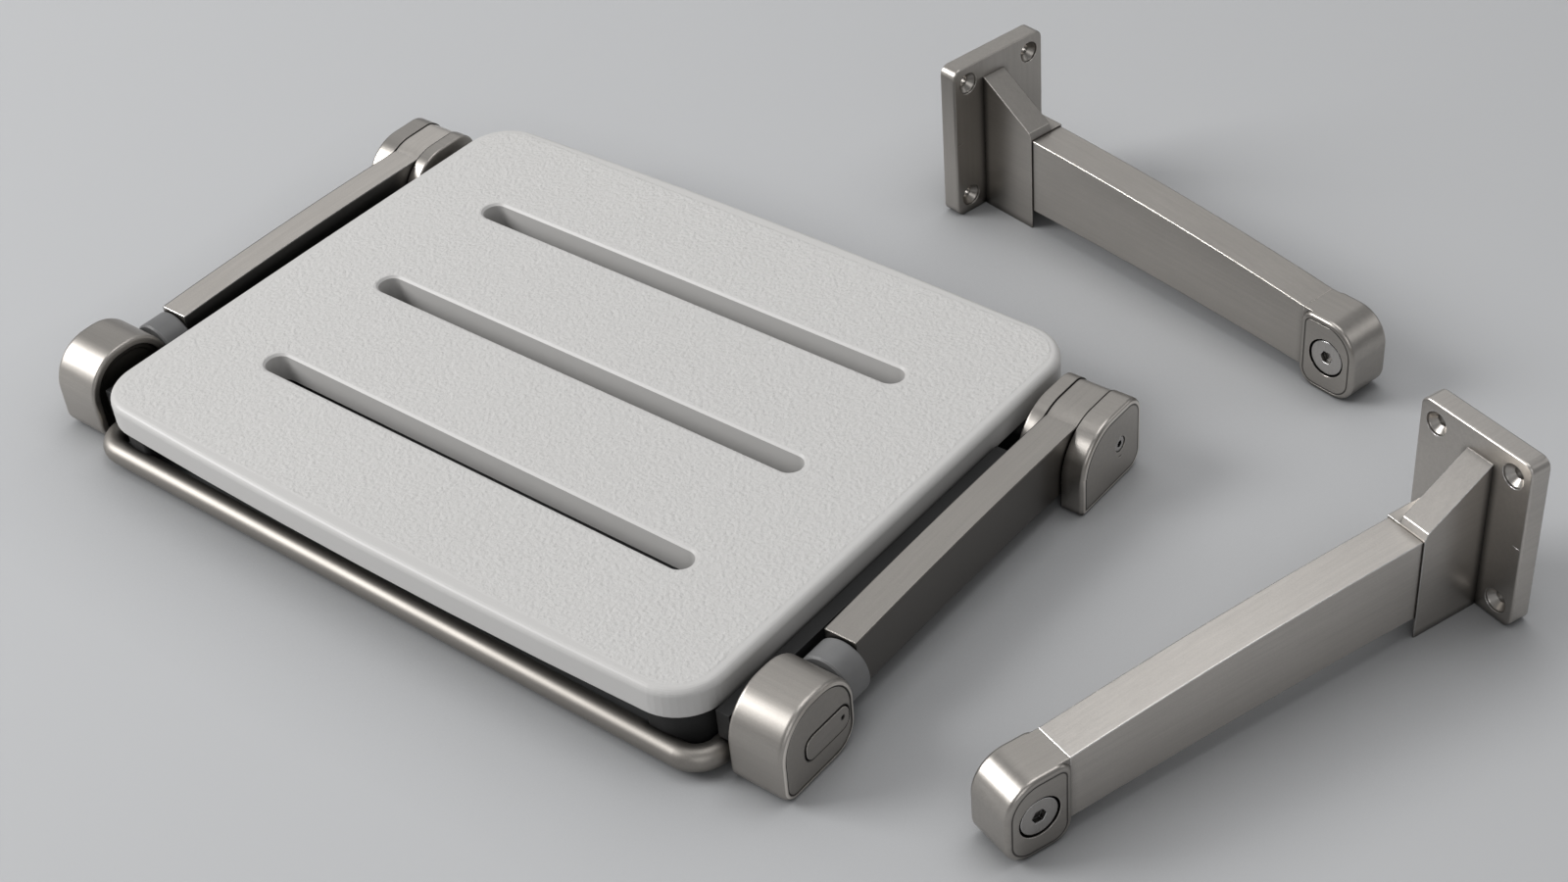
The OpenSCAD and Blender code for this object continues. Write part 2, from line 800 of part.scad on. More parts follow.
module hinge_housing_right()
    color([0.64, 0.62, 0.59])
        difference() {
            translate([hinge_x, hinge_rear - hinge_d, 0]) rotate([quarter, 0, quarter])
                rim_plate(hinge_d, hinge_h, hinge_radii, hinge_t, rim_r);
            pin_x(hinge_x - cut, hinge_t + 2 * cut, hub_bore_r, 0, axis_z);
            pin_x(hinge_x + hinge_t - pivot_recess_t, pivot_recess_t + cut, pivot_recess_r, 0, axis_z);
            translate([hinge_x + hinge_t - mark_t, -mark_l / 2, axis_z - mark_drop - mark_h / 2])
                cube([mark_t + cut, mark_l, mark_h]);
            foot_holes(hinge_x + hinge_t / 2);
        }
module hinge_housing_left() on_left() hinge_housing_right();

module hinge_cheek_right()
    color([0.64, 0.62, 0.59])
        difference() {
            translate([cheek_x + cheek_t, 0, 0]) mirror([1, 0, 0])
                translate([0, hinge_rear - hinge_d, 0]) rotate([quarter, 0, quarter])
                    rim_plate(hinge_d, hinge_h, hinge_radii, cheek_t, cheek_edge_r);
            pin_x(cheek_x + cheek_t - pivot_tip - seat_fit, pivot_tip + cut, hub_bore_r, 0, axis_z);
            for (y = tie_screw_ys) {
                pin_x(cheek_x - cut, cheek_t + 2 * cut, tie_screw_r + seat_fit, y, tie_screw_z, wire_fn);
                pin_x(cheek_x + cheek_t - tie_head_t, tie_head_t + cut, tie_head_r + seat_fit, y,
                    tie_screw_z, wire_fn);
            }
            foot_holes(cheek_x + cheek_t / 2);
        }
module hinge_cheek_left() on_left() hinge_cheek_right();

module hinge_hub_right()
    color([0.58, 0.58, 0.58])
        difference() {
            pin_x(cheek_x + cheek_t, hinge_x - cheek_x - cheek_t, hub_r, 0, axis_z);
            pin_x(cheek_x, hinge_x, hub_bore_r, 0, axis_z);
        }
module hinge_hub_left() on_left() hinge_hub_right();

module pivot_screw_right() {
    seat = hinge_x + hinge_t - pivot_recess_t;
    tip = cheek_x + cheek_t - pivot_tip;
    color([0.7, 0.7, 0.69])
        difference() {
            union() {
                pin_x(tip, seat - tip, pivot_r, 0, axis_z);
                pin_x(seat, pivot_head_t, pivot_head_r, 0, axis_z);
            }
            pin_x(seat + pivot_head_t - pivot_hex_t, pivot_hex_t + cut, pivot_hex_r, 0, axis_z, hex_fn);
        }
}
module pivot_screw_left() on_left() pivot_screw_right();

module tie_bar()
    color([0.3, 0.3, 0.31])
        difference() {
            translate([-cheek_x, 0, 0]) rotate([quarter, 0, quarter]) linear_extrude(2 * cheek_x)
                translate([-tie_front, 0])
                    profile(tie_front + tie_rear, tie_h, [tie_edge, tie_edge, tie_edge, tie_edge]);
            for (s = [0, 1], y = tie_screw_ys) mirror([s, 0, 0])
                pin_x(cheek_x - tie_screw_l - seat_fit, tie_screw_l + cut, tie_screw_r + seat_fit, y,
                    tie_screw_z, wire_fn);
        }

module tie_screws()
    color([0.4, 0.4, 0.41])
        for (s = [0, 1], y = tie_screw_ys) mirror([s, 0, 0]) {
            seat = cheek_x + cheek_t - tie_head_t;
            pin_x(cheek_x - tie_screw_l, seat - cheek_x + tie_screw_l, tie_screw_r, y, tie_screw_z, wire_fn);
            pin_x(seat, tie_head_t - seat_fit, tie_head_r, y, tie_screw_z, wire_fn);
        }

// Wall bracket, drawn with its plate front at x = 0 and its bolt side at +Y

module wall_plate()
    color([0.62, 0.6, 0.57])
        difference() {
            translate([-plate_t, -plate_w / 2, 0]) rotate([quarter, 0, quarter])
                rim_plate(plate_w, plate_h, [plate_r, plate_r, plate_r, plate_r], plate_t, plate_edge);
            for (s = [-1, 1], z = [hole_low, hole_high]) {
                pin_x(-plate_t - cut, plate_t + 2 * cut, hole_r, s * hole_u, z);
                translate([-sink_flat - sink_t, s * hole_u, z]) rotate([0, quarter, 0])
                    cylinder(h = sink_t, r1 = hole_r, r2 = sink_r, $fn = round_fn);
                pin_x(-sink_flat, sink_flat + cut, sink_r, s * hole_u, z);
            }
            translate([-line_t, plate_w / 2 - line_l - plate_edge, line_z])
                cube([line_t + cut, line_l, line_t]);
        }

module wall_arm_side(in) {
    top_a = [block_l, wall_arm_top];
    top_b = [reach - nose_back, nose_h];
    low_a = [block_l, wall_arm_low];
    low_b = [reach - nose_back, nose_low];
    difference() {
        intersection() {
            translate([in, 0]) square([reach - nose_back - in, plate_h]);
            arc_disc(top_a, top_b, arch);
        }
        arc_disc(low_a, low_b, arch_low);
    }
}

module wall_arm()
    color([0.64, 0.62, 0.59])
        difference() {
            union() {
                translate([0, wall_arm_w / 2, 0]) rotate([quarter, 0, 0])
                    linear_extrude(wall_arm_w) wall_arm_side(root_in);
                translate([0, wall_arm_w / 4, 0]) rotate([quarter, 0, 0])
                    linear_extrude(wall_arm_w / 2)
                        translate([reach - nose_back - cut, lug_low])
                            square([nose_back + cut + lug_tip, lug_high - lug_low]);
            }
            translate([reach, nose_w, bolt_z]) rotate([quarter, 0, 0])
                cylinder(h = 2 * nose_w, r = bolt_shaft_r + seat_fit, $fn = round_fn);
        }

module wall_socket()
    color([0.62, 0.6, 0.57])
        difference() {
            union() {
                translate([0, -block_w / 2, 0]) cube([block_l, block_w, block_h]);
                translate([0, block_w / 2, 0]) rotate([quarter, 0, 0])
                    linear_extrude(gusset_w)
                        polygon([[0, 0], [block_l, 0], [block_l, block_h],
                            [gusset_end, gusset_lip], [0, gusset_top]]);
            }
            translate([root_in, -wall_arm_w / 2 - seat_fit, -cut])
                cube([block_l, wall_arm_w + 2 * seat_fit, wall_arm_low + cut]);
            translate([0, wall_arm_w / 2 + seat_fit, 0]) rotate([quarter, 0, 0])
                linear_extrude(wall_arm_w + 2 * seat_fit) wall_arm_side(root_in);
        }

module wall_nose()
    color([0.64, 0.62, 0.59])
        difference() {
            translate([reach - nose_back, 0, 0]) {
                rotate([quarter, 0, 0]) rim_plate(nose_l, nose_h, nose_radii, nose_w / 2, rim_r);
                mirror([0, 1, 0]) rotate([quarter, 0, 0])
                    rim_plate(nose_l, nose_h, nose_radii, nose_w / 2, rim_r);
                translate([0, -wall_arm_w / 2, nose_low])
                    cube([nose_fill, wall_arm_w, nose_h - nose_low]);
            }
            translate([0, wall_arm_w / 4 + seat_fit, 0]) rotate([quarter, 0, 0])
                linear_extrude(wall_arm_w / 2 + 2 * seat_fit)
                    translate([reach - nose_back - cut, lug_low - seat_fit])
                        square([nose_back + cut + lug_tip + seat_fit, lug_high - lug_low + 2 * seat_fit]);
            translate([reach, nose_w, bolt_z]) rotate([quarter, 0, 0])
                cylinder(h = 2 * nose_w, r = bolt_shaft_r + seat_fit, $fn = round_fn);
            translate([reach, nose_w / 2 + cut, bolt_z]) rotate([quarter, 0, 0])
                cylinder(h = bolt_recess_t + cut, r = bolt_r + bolt_ring, $fn = round_fn);
            translate([reach, nut_recess - nose_w / 2, bolt_z]) rotate([quarter, 0, 0])
                cylinder(h = nut_recess + cut, r = nut_r + nut_ring, $fn = round_fn);
        }

module nose_bolt() {
    seat = nose_w / 2 - bolt_recess_t;
    color([0.6, 0.59, 0.57])
        difference() {
            union() {
                translate([reach, seat + bolt_head_t, bolt_z]) rotate([quarter, 0, 0])
                    cylinder(h = bolt_head_t, r = bolt_r, $fn = round_fn);
                translate([reach, seat, bolt_z]) rotate([quarter, 0, 0])
                    cylinder(h = nose_w - bolt_recess_t - cut, r = bolt_shaft_r, $fn = round_fn);
            }
            translate([reach, seat + bolt_head_t + cut, bolt_z]) rotate([quarter, 0, 0])
                cylinder(h = bolt_hex_t + cut, r = bolt_hex_r, $fn = hex_fn);
        }
}

module nose_nut()
    color([0.5, 0.5, 0.5])
        translate([reach, nut_recess - nose_w / 2, bolt_z]) rotate([quarter, 0, 0])
            difference() {
                cylinder(h = nut_t, r = nut_r, $fn = hex_fn);
                translate([0, 0, -cut])
                    cylinder(h = nut_t + 2 * cut, r = bolt_shaft_r + seat_fit, $fn = round_fn);
            }

module at_rear()
    translate([rear_x, rear_y, 0]) rotate(rear_yaw) mirror([0, 1, 0]) children();
module at_side()
    translate([side_x, side_y, 0]) rotate(side_yaw) children();

module wall_plate_a() at_rear() wall_plate();
module wall_socket_a() at_rear() wall_socket();
module wall_arm_a() at_rear() wall_arm();
module wall_nose_a() at_rear() wall_nose();
module nose_bolt_a() at_rear() nose_bolt();
module nose_nut_a() at_rear() nose_nut();
module wall_plate_b() at_side() wall_plate();
module wall_socket_b() at_side() wall_socket();
module wall_arm_b() at_side() wall_arm();
module wall_nose_b() at_side() wall_nose();
module nose_bolt_b() at_side() nose_bolt();
module nose_nut_b() at_side() nose_nut();

seat_slab();
slab_screws();
front_bar();
rear_bar();
cross_bars();
corner_pads();
rail_left();
rail_right();
rail_screws();
side_arm_left();
side_arm_right();
bush_left();
bush_right();
sleeve_left();
sleeve_right();
front_housing_left();
front_housing_right();
housing_lid_left();
housing_lid_right();
button_left();
button_right();
push_rod_left();
push_rod_right();
rod_spring_left();
rod_spring_right();
brake_shoe_left();
brake_shoe_right();
hinge_housing_left();
hinge_housing_right();
hinge_cheek_left();
hinge_cheek_right();
hinge_hub_left();
hinge_hub_right();
pivot_screw_left();
pivot_screw_right();
tie_bar();
tie_screws();
wall_plate_a();
wall_socket_a();
wall_arm_a();
wall_nose_a();
nose_bolt_a();
nose_nut_a();
wall_plate_b();
wall_socket_b();
wall_arm_b();
wall_nose_b();
nose_bolt_b();
nose_nut_b();
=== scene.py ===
import math

import bmesh
import bpy
from mathutils import Matrix, Vector

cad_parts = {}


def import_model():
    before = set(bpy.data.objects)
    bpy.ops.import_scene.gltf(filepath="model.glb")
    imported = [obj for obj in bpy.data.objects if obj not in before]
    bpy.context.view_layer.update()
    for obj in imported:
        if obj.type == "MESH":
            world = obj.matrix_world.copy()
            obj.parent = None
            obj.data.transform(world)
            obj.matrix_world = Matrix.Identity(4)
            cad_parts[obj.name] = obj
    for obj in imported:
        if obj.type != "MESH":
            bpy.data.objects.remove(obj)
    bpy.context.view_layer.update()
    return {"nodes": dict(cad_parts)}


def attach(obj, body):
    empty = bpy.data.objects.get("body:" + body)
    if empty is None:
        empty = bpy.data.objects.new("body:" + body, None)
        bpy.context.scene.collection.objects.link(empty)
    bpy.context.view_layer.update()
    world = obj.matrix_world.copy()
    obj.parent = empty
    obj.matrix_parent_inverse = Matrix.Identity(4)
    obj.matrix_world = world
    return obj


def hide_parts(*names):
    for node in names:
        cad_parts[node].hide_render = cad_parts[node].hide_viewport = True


# Axes, and the two sides of the seat
AXIS_X = 0
AXIS_Y = 1
AXIS_Z = 2
SIDES = ((1.0, "right"), (-1.0, "left"))

# Camera, solved from the photo, in the row frame
LENS_MM = 56.05
SENSOR_MM = 36.0
CLIP_START = 0.05
CAMERA_AT = Vector((0.8193, -0.8858, 0.8806))
LOOK = Vector((-0.51608, 0.58045, -0.62987))
RIGHT = Vector((0.78369, 0.61676, -0.07374))

# Studio. A light's values are its name, place, width and height, and watts
LIGHT_AIM = (0.08, -0.08, 0.0)
LIGHTS = (
    ("key", (-2.25, -1.7, 1.9), (1.7, 1.7), 84.0),
    ("overhead", (0.2, 0.35, 2.3), (1.5, 1.5), 15.0),
    ("fill", (1.9, -2.0, 1.6), (1.6, 1.6), 12.0),
    ("back_card", (-1.06, 1.18, 1.24), (2.4, 1.6), 4.5),
    ("right_card", (1.6, 1.4, 1.1), (1.2, 0.8), 2.5),
)
ROOM_COLOUR = (0.80, 0.81, 0.83, 1.0)
ROOM_LEVEL = 0.31
FLOOR_COLOUR = (0.50, 0.505, 0.512)
FLOOR_SIZE = 12.0
FLOOR_AT = (0.1, 0.0, 0.0)

# Turn and place of each wall bracket on the floor
REAR_TURN = math.radians(-12.0)
REAR_AT = (0.060, 0.2012, 0.0)
SIDE_TURN = math.radians(-109.0)
SIDE_AT = (0.4664, 0.0205, 0.0)

# Slab
SLAB_CENTRE_Y = -0.1325
SLAB_HALF = (0.2255, 0.177)
SLAB_TOP_Z = 0.0498
SLOT_PITCH = 0.0915
SLOT_HALF_L = 0.160
SLOT_HALF_W = 0.0077

# Outlines in their own plane: centre, half sizes, and radii from the lower front corner on by the
# lower rear one. Then the faces and seams that belong to them
HOUSE_OUTLINE = ((-0.2665, 0.027), (0.029, 0.027), (0.010, 0.017, 0.025, 0.027))
CAVE_OUTLINE = ((-0.262, 0.021), (0.022, 0.015), (0.004, 0.004, 0.004, 0.004))
BUTTON_OUTLINE = ((-0.260, 0.0228), (0.01675, 0.00725), (0.0056, 0.0056, 0.0056, 0.0056))
HINGE_OUTLINE = ((-0.008, 0.025), (0.0295, 0.025), (0.003, 0.012, 0.013, 0.030))
NOSE_OUTLINE = ((0.280, 0.025), (0.0195, 0.025), (0.012, 0.014, 0.020, 0.008))
HOUSE_FACE_X = 0.2733
HINGE_FACE_X = 0.276
HINGE_SEAMS = (0.24165, 0.26175)
NOSE_FACE_Y = 0.0145

# Front housings and lids
HOUSE_INNER_X = 0.2394
HOUSE_WALL = 0.003
HOUSE_ROLL = 0.003
INNER_ROLL = 0.0018
FACE_DROP = 0.0003
LIP_DROP = 0.0001
GROOVE = 0.0004
CHAMFER = 0.0003
LOOP = 0.0004
RIM_LOOPS = (3.0, 2.0, 1.2, 0.5)
BUTTON_GAP = 0.0007
LID_INSET = 0.0050
LID_GAP = 0.0002
LID_DROP = 0.002
LID_T = 0.002
LID_AIR = 0.00005
LID_BORDER = 0.003
LID_DISH = 0.0005
NECK_AT = (0.2537, 0.0265)
NECK_R = 0.011
NECK_Y = (-0.2385, -0.2195)
ROD_AT = (0.2517, 0.025)
SPIGOT_R = 0.008
SPIGOT_Y = (-0.2385, -0.1945)
ROD_BORE_R = 0.00265
ROD_BORE_Y = (-0.2415, -0.2335)
SPRING_BORE_R = 0.0062
SPRING_BORE_Y = (-0.2340, -0.1930)
ARC_STEPS = 12
ROLL_STEPS = 6
ROUND_STEPS = 48
LEAST_R = 0.0003
SHARP_TURN = math.radians(36.0)

# Drawn lines, by their distance from an outline, half width and the depth that a face counts to:
# the painted shade of the rim groove, the painted highlight of the rim crest, and the painted
# shadow in the button's slit and in the seams.
# Then the button's dot, and the cosines and share of the painted light on a side arm's outer flank
RIM_INSET = 0.0035
RIM_HALF = 0.0003
RIM_DEPTH = 0.0006
CREST_INSET = 0.0021
CREST_HALF = 0.0005
CREST_DEPTH = 0.003
SLIT_OUT = 0.0005
SLIT_HALF = 0.0006
SEAM_HALF = 0.00035
DOT_AT = (-0.24795, 0.0234)
DOT_R = 0.0016
DOT_FADE = 0.0003
FLANK = (0.92, 0.98)
FLANK_LIGHT_SHARE = 0.75

# Nickel tints and roughness. The light nickel is a lit copy, painted light on the side bracket,
# and the shares paint some arms lighter than their tint, also as painted light
NICKEL = (0.43, 0.405, 0.375)
NICKEL_LIT = (0.56, 0.53, 0.495)
NICKEL_DARK = (0.32, 0.30, 0.275)
NICKEL_ROUGH = 0.30
HOUSE_ROUGH = 0.37
TUBE_ROUGH = 0.44
LEFT_ARM_LIT_SHARE = 1.55
ARM_A_LIT_SHARE = 1.1
ARM_B_LIT_SHARE = 1.18

# Tint and roughness of the other finishes
STEEL = ((0.5, 0.5, 0.5), 0.34)
BOLT = ((0.52, 0.5, 0.48), 0.26)
LID = ((0.13, 0.122, 0.108), 0.38)
SLEEVE = ((0.13, 0.13, 0.13), 0.42)
RUBBER = ((0.012, 0.012, 0.012), 0.6)
RAIL = ((0.010, 0.010, 0.010), 0.5)
FRAME = ((0.03, 0.03, 0.032), 0.45)
BUSH = ((0.05, 0.05, 0.048), 0.45)

# Grain of the metals: cycles a metre across and along it, detail and roughness
FINE_GRAIN = (1500.0, 40.0, 3.0, 0.6)
BAND_GRAIN = (380.0, 11.0, 2.0, 0.5)
SPECK_GRAIN = (1300.0, 2.0, 0.6)
CLOUD_GRAIN = (20.0, 3.0, 0.55)
FINE_SHARE = 0.5
BAND_SHARE = 0.5
STREAK_SHARE = 0.65
SPECK_SHARE = 0.35
GRAIN_DEPTH = 0.000016
GRAIN_BUMP = 0.6
STEEL_GRAIN = 0.6
BOLT_GRAIN = 0.5

# Toning of the metals, with painted highlights and painted shade: a tint is a share of the part's
# own, a hollow is a reach and a power
TONE_SPAN = (0.36, 0.64)
TONE_TINTS = (0.90, 1.07)
CLOUD_SPAN = (0.35, 0.7, 0.0, 0.4)
CLOUD_TINT = 0.86
METAL_EDGE = 0.0009
ARM_EDGE = 0.0012
EDGE_HIGHLIGHT_SHARE = 0.7
EDGE_HIGHLIGHT_TINT = 2.1
WIDE_HOLLOW = (0.04, 0.7)
WIDE_SHADE_TINT = 0.80
TIGHT_HOLLOW = (0.005, 1.8)
TIGHT_SHADE_TINT = 0.06
PAINTED_LIGHT_SHARE = 0.75
PAINTED_LIGHT_TINT = 2.0
LINE_SHARE = 0.82
LINE_TINT = 0.10
LINE_DEPTH = 0.0003
LINE_BUMP = 0.7
METAL_ROUGH_BASE = -0.05
METAL_ROUGH_FINE = 0.07
METAL_ROUGH_CLOUD = 0.07
METAL_ROUGH_EDGE = 0.05

# Slab: the grained field, its grain, toning with painted shade in its hollows, and roughness
SLAB_LOW = (0.575, 0.565, 0.55)
SLAB_HIGH = (0.61, 0.60, 0.585)
FIELD_INSET = (0.030, 0.032)
FIELD_FADE = (0.0235, 0.0215)
TOP_FADE = (0.0008, 0.0002)
SLOT_FADE = (0.0012, 0.0026)
WARP_GRAIN = (300.0, 2.0, 0.5)
PEBBLE_GRAIN = (470.0, 3.0, 0.55)
CELL_SCALE = 410.0
WARP_SHARE = 0.4
PEBBLE_SHARE = 1.1
CELL_SHARE = -0.8
PEBBLE_SPAN = (0.3, 0.7)
STAIN_GRAIN = (6.0, 3.0, 0.5)
STAIN_SPAN = (0.35, 0.75, 0.0, 0.22)
STAIN_TINT = 0.955
SLAB_HOLLOW = 0.012
SLAB_SHADE_TINT = 0.35
SLAB_DEPTH = 0.0007
SLAB_BUMP = 0.8
SLAB_ROUGH = 0.40
SLAB_ROUGH_FIELD = 0.12
SLAB_SPEC = 0.45

# Rubber and paint
DULL_GRAIN = (700.0, 3.0, 0.6)
DULL_CLOUD = (25.0, 3.0, 0.6)
DULL_SPAN = (0.3, 0.75, 0.0, 0.6)
DULL_CLOUD_TINT = (1.7, 0.004)
DULL_EDGE = 0.0006
DULL_EDGE_SHARE = 0.5
DULL_EDGE_TINT = (2.4, 0.01)
DULL_ROUND = 0.0005
DULL_DEPTH = 0.00006
DULL_BUMP = 0.5
DULL_ROUGH_BASE = -0.06
DULL_ROUGH_FINE = 0.14
DULL_SPEC = 0.4

# Floor
PAPER_GRAIN = (900.0, 2.0, 0.5)
PAPER_CLOUD = (1.3, 2.0, 0.4)
PAPER_TINTS = (0.985, 1.015)
PAPER_HOLLOW = 0.10
PAPER_HOLLOW_TINT = 0.36
PAPER_DEPTH = 0.00003
PAPER_BUMP = 0.3
PAPER_ROUGH = 0.62
PAPER_SPEC = 0.35

# Samples of the edge and hollow nodes, and the cosines between which a place counts as an edge
SHADER_SAMPLES = 6
EDGE_COSINES = (0.995, 0.9)


# Shader helpers

def new_material(name):
    mat = bpy.data.materials.new(name)
    mat.use_nodes = True
    mat.node_tree.nodes.clear()
    return mat, Graph(mat.node_tree)


def shaded(tint, share, lift=0.0):
    return tuple(min(1.0, c * share + lift) for c in tint)


def colour(value):
    if isinstance(value, tuple) and len(value) == 3:
        return value + (1.0,)
    return value


class Graph:
    """A thin layer over a node tree: nodes are made and wired by short calls."""

    def __init__(self, tree):
        self.tree = tree

    def node(self, kind, **settings):
        made = self.tree.nodes.new(kind)
        for key, value in settings.items():
            setattr(made, key, value)
        return made

    def wire(self, source, target):
        self.tree.links.new(source, target)

    def feed(self, value, socket):
        if isinstance(value, (int, float, tuple)):
            socket.default_value = value
        else:
            self.wire(value, socket)

    def math(self, operation, a, b=0.0, clamp=False):
        made = self.node("ShaderNodeMath", operation=operation, use_clamp=clamp)
        self.feed(a, made.inputs[0])
        self.feed(b, made.inputs[1])
        return made.outputs[0]

    def add(self, a, b):
        return self.math("ADD", a, b)

    def less(self, a, b, clamp=False):
        return self.math("SUBTRACT", a, b, clamp)

    def times(self, a, b):
        return self.math("MULTIPLY", a, b)

    def larger(self, a, b):
        return self.math("MAXIMUM", a, b)

    def size(self, value):
        return self.math("ABSOLUTE", value)

    def above(self, value, limit):
        return self.math("GREATER_THAN", value, limit)

    def length(self, a, b):
        return self.math("SQRT", self.add(self.times(a, a), self.times(b, b)))

    def mix(self, factor, a, b):
        made = self.node("ShaderNodeMix", data_type="RGBA")
        self.feed(factor, made.inputs[0])
        self.feed(colour(a), made.inputs[6])
        self.feed(colour(b), made.inputs[7])
        return made.outputs[2]

    def span(self, value, low, high, out_low=0.0, out_high=1.0, smooth=False):
        made = self.node("ShaderNodeMapRange")
        made.interpolation_type = "SMOOTHSTEP" if smooth else "LINEAR"
        for at, number in enumerate((value, low, high, out_low, out_high)):
            self.feed(number, made.inputs[at])
        return made.outputs[0]

    def place(self):
        return self.node("ShaderNodeTexCoord").outputs["Object"]

    def facing(self):
        return self.node("ShaderNodeNewGeometry").outputs["Normal"]

    def split(self, vector):
        made = self.node("ShaderNodeSeparateXYZ")
        self.wire(vector, made.inputs[0])
        return made.outputs

    def mapped(self, vector, scale=(1.0, 1.0, 1.0), turn=0.0):
        made = self.node("ShaderNodeMapping")
        made.inputs["Scale"].default_value = scale
        made.inputs["Rotation"].default_value = (0.0, 0.0, turn)
        self.wire(vector, made.inputs["Vector"])
        return made.outputs[0]

    def local(self, place, origin, turn):
        """Place seen from a bracket's own frame."""
        moved = self.node("ShaderNodeVectorMath", operation="SUBTRACT")
        self.wire(place, moved.inputs[0])
        moved.inputs[1].default_value = origin
        return self.mapped(moved.outputs[0], turn=-turn)

    def noise(self, vector, scale, detail, rough):
        made = self.node("ShaderNodeTexNoise")
        self.wire(vector, made.inputs["Vector"])
        made.inputs["Scale"].default_value = scale
        made.inputs["Detail"].default_value = detail
        made.inputs["Roughness"].default_value = rough
        return made.outputs[0]

    def grain(self, vector, axis, across, along, detail, rough):
        """Noise drawn out along one axis."""
        scale = [across, across, across]
        scale[axis] = along
        return self.noise(self.mapped(vector, tuple(scale)), 1.0, detail, rough)

    def cells(self, vector, scale):
        made = self.node("ShaderNodeTexVoronoi", feature="SMOOTH_F1")
        self.wire(vector, made.inputs["Vector"])
        made.inputs["Scale"].default_value = scale
        return made.outputs[0]

    def bump(self, height, distance, strength, normal=None):
        made = self.node("ShaderNodeBump")
        made.inputs["Strength"].default_value = strength
        made.inputs["Distance"].default_value = distance
        self.wire(height, made.inputs["Height"])
        if normal is not None:
            self.wire(normal, made.inputs["Normal"])
        return made.outputs[0]

    def outline(self, u, v, shape):
        """Signed distance to a rectangle with four unlike corner radii, below 0 inside."""
        (cu, cv), (half_u, half_v), (low_a, low_b, high_b, high_a) = shape
        pu = self.less(u, cu)
        pv = self.less(v, cv)
        later = self.above(pu, 0.0)
        upper = self.above(pv, 0.0)
        low = self.add(self.times(later, low_b - low_a), low_a)
        high = self.add(self.times(later, high_b - high_a), high_a)
        radius = self.add(low, self.times(self.less(high, low), upper))
        qu = self.add(self.less(self.size(pu), half_u), radius)
        qv = self.add(self.less(self.size(pv), half_v), radius)
        outer = self.length(self.larger(qu, 0.0), self.larger(qv, 0.0))
        inner = self.math("MINIMUM", self.larger(qu, qv), 0.0)
        return self.less(self.add(outer, inner), radius)

    def line(self, distance, at, half):
        """1 on a line at the given distance, fading over its own half width."""
        away = self.size(self.less(distance, at))
        return self.span(away, half, 2.0 * half, 1.0, 0.0, True)

    def soft_edges(self, radius):
        made = self.node("ShaderNodeBevel", samples=SHADER_SAMPLES)
        made.inputs["Radius"].default_value = radius
        return made.outputs[0]

    def edge_mask(self, radius):
        """1 on convex edges narrower than radius, 0 on flats."""
        made = self.node("ShaderNodeVectorMath", operation="DOT_PRODUCT")
        self.wire(self.soft_edges(radius), made.inputs[0])
        self.wire(self.facing(), made.inputs[1])
        return self.span(made.outputs["Value"], *EDGE_COSINES)

    def hollow(self, reach, power=1.0):
        """1 in the open, toward 0 in seams and recesses narrower than reach."""
        made = self.node("ShaderNodeAmbientOcclusion", samples=SHADER_SAMPLES)
        made.inputs["Distance"].default_value = reach
        return self.math("POWER", made.outputs["AO"], power)

    def shade(self, base, rough, normal, metal=0.0, spec=0.5):
        made = self.node("ShaderNodeBsdfPrincipled")
        self.feed(colour(base), made.inputs["Base Color"])
        self.feed(rough, made.inputs["Roughness"])
        self.feed(metal, made.inputs["Metallic"])
        self.feed(spec, made.inputs["Specular IOR Level"])
        self.wire(normal, made.inputs["Normal"])
        out = self.node("ShaderNodeOutputMaterial")
        self.wire(made.outputs[0], out.inputs[0])


# Painted shade lines, painted highlights, painted light and the button's dot of the metals, as
# masks

def rim_line(g, place, outline, face, axis):
    """A fine groove just inside the rolled rim, on the faces that lie out at face, darkened as
    painted shade.
    """
    parts = g.split(place)
    other = AXIS_Y if axis == AXIS_X else AXIS_X
    on_face = g.above(g.size(parts[axis]), face - RIM_DEPTH)
    distance = g.outline(parts[other], parts[AXIS_Z], outline)
    return g.times(g.line(distance, -RIM_INSET, RIM_HALF), on_face)


def rim_crest_highlight(outline, face):
    """A painted highlight on the crest of the rolled rim, beside the groove."""
    def made(g, place):
        x, y, z = g.split(place)
        on_face = g.above(g.size(x), face - CREST_DEPTH)
        return g.times(g.line(g.outline(y, z, outline), -CREST_INSET, CREST_HALF), on_face)
    return made


def arm_flank_light(g, _place):
    """Painted light on the outer flank of a side arm, on the faces turned across X."""
    return g.span(g.size(g.split(g.facing())[AXIS_X]), *FLANK, 0.0, FLANK_LIGHT_SHARE)


def button_dot(g, place):
    parts = g.split(place)
    away = g.length(g.less(parts[AXIS_Y], DOT_AT[0]), g.less(parts[AXIS_Z], DOT_AT[1]))
    return g.span(away, DOT_R, DOT_R + DOT_FADE, 1.0, 0.0)


def house_lines(g, place):
    x, y, z = g.split(place)
    on_face = g.above(g.size(x), HOUSE_FACE_X - CREST_DEPTH)
    # The slit round the button is a painted shadow in the gap.
    slit = g.line(g.outline(y, z, BUTTON_OUTLINE), SLIT_OUT, SLIT_HALF)
    rim = rim_line(g, place, HOUSE_OUTLINE, HOUSE_FACE_X, AXIS_X)
    return g.larger(rim, g.times(slit, on_face))


def hinge_lines(g, place):
    across = g.size(g.split(place)[AXIS_X])
    made = rim_line(g, place, HINGE_OUTLINE, HINGE_FACE_X, AXIS_X)
    # The seams between the hinge's pieces are painted shade.
    for seam in HINGE_SEAMS:
        made = g.larger(made, g.line(across, seam, SEAM_HALF))
    return made


def nose_lines(origin, turn):
    def made(g, place):
        return rim_line(g, g.local(place, origin, turn), NOSE_OUTLINE, NOSE_FACE_Y, AXIS_Y)
    return made


# Materials

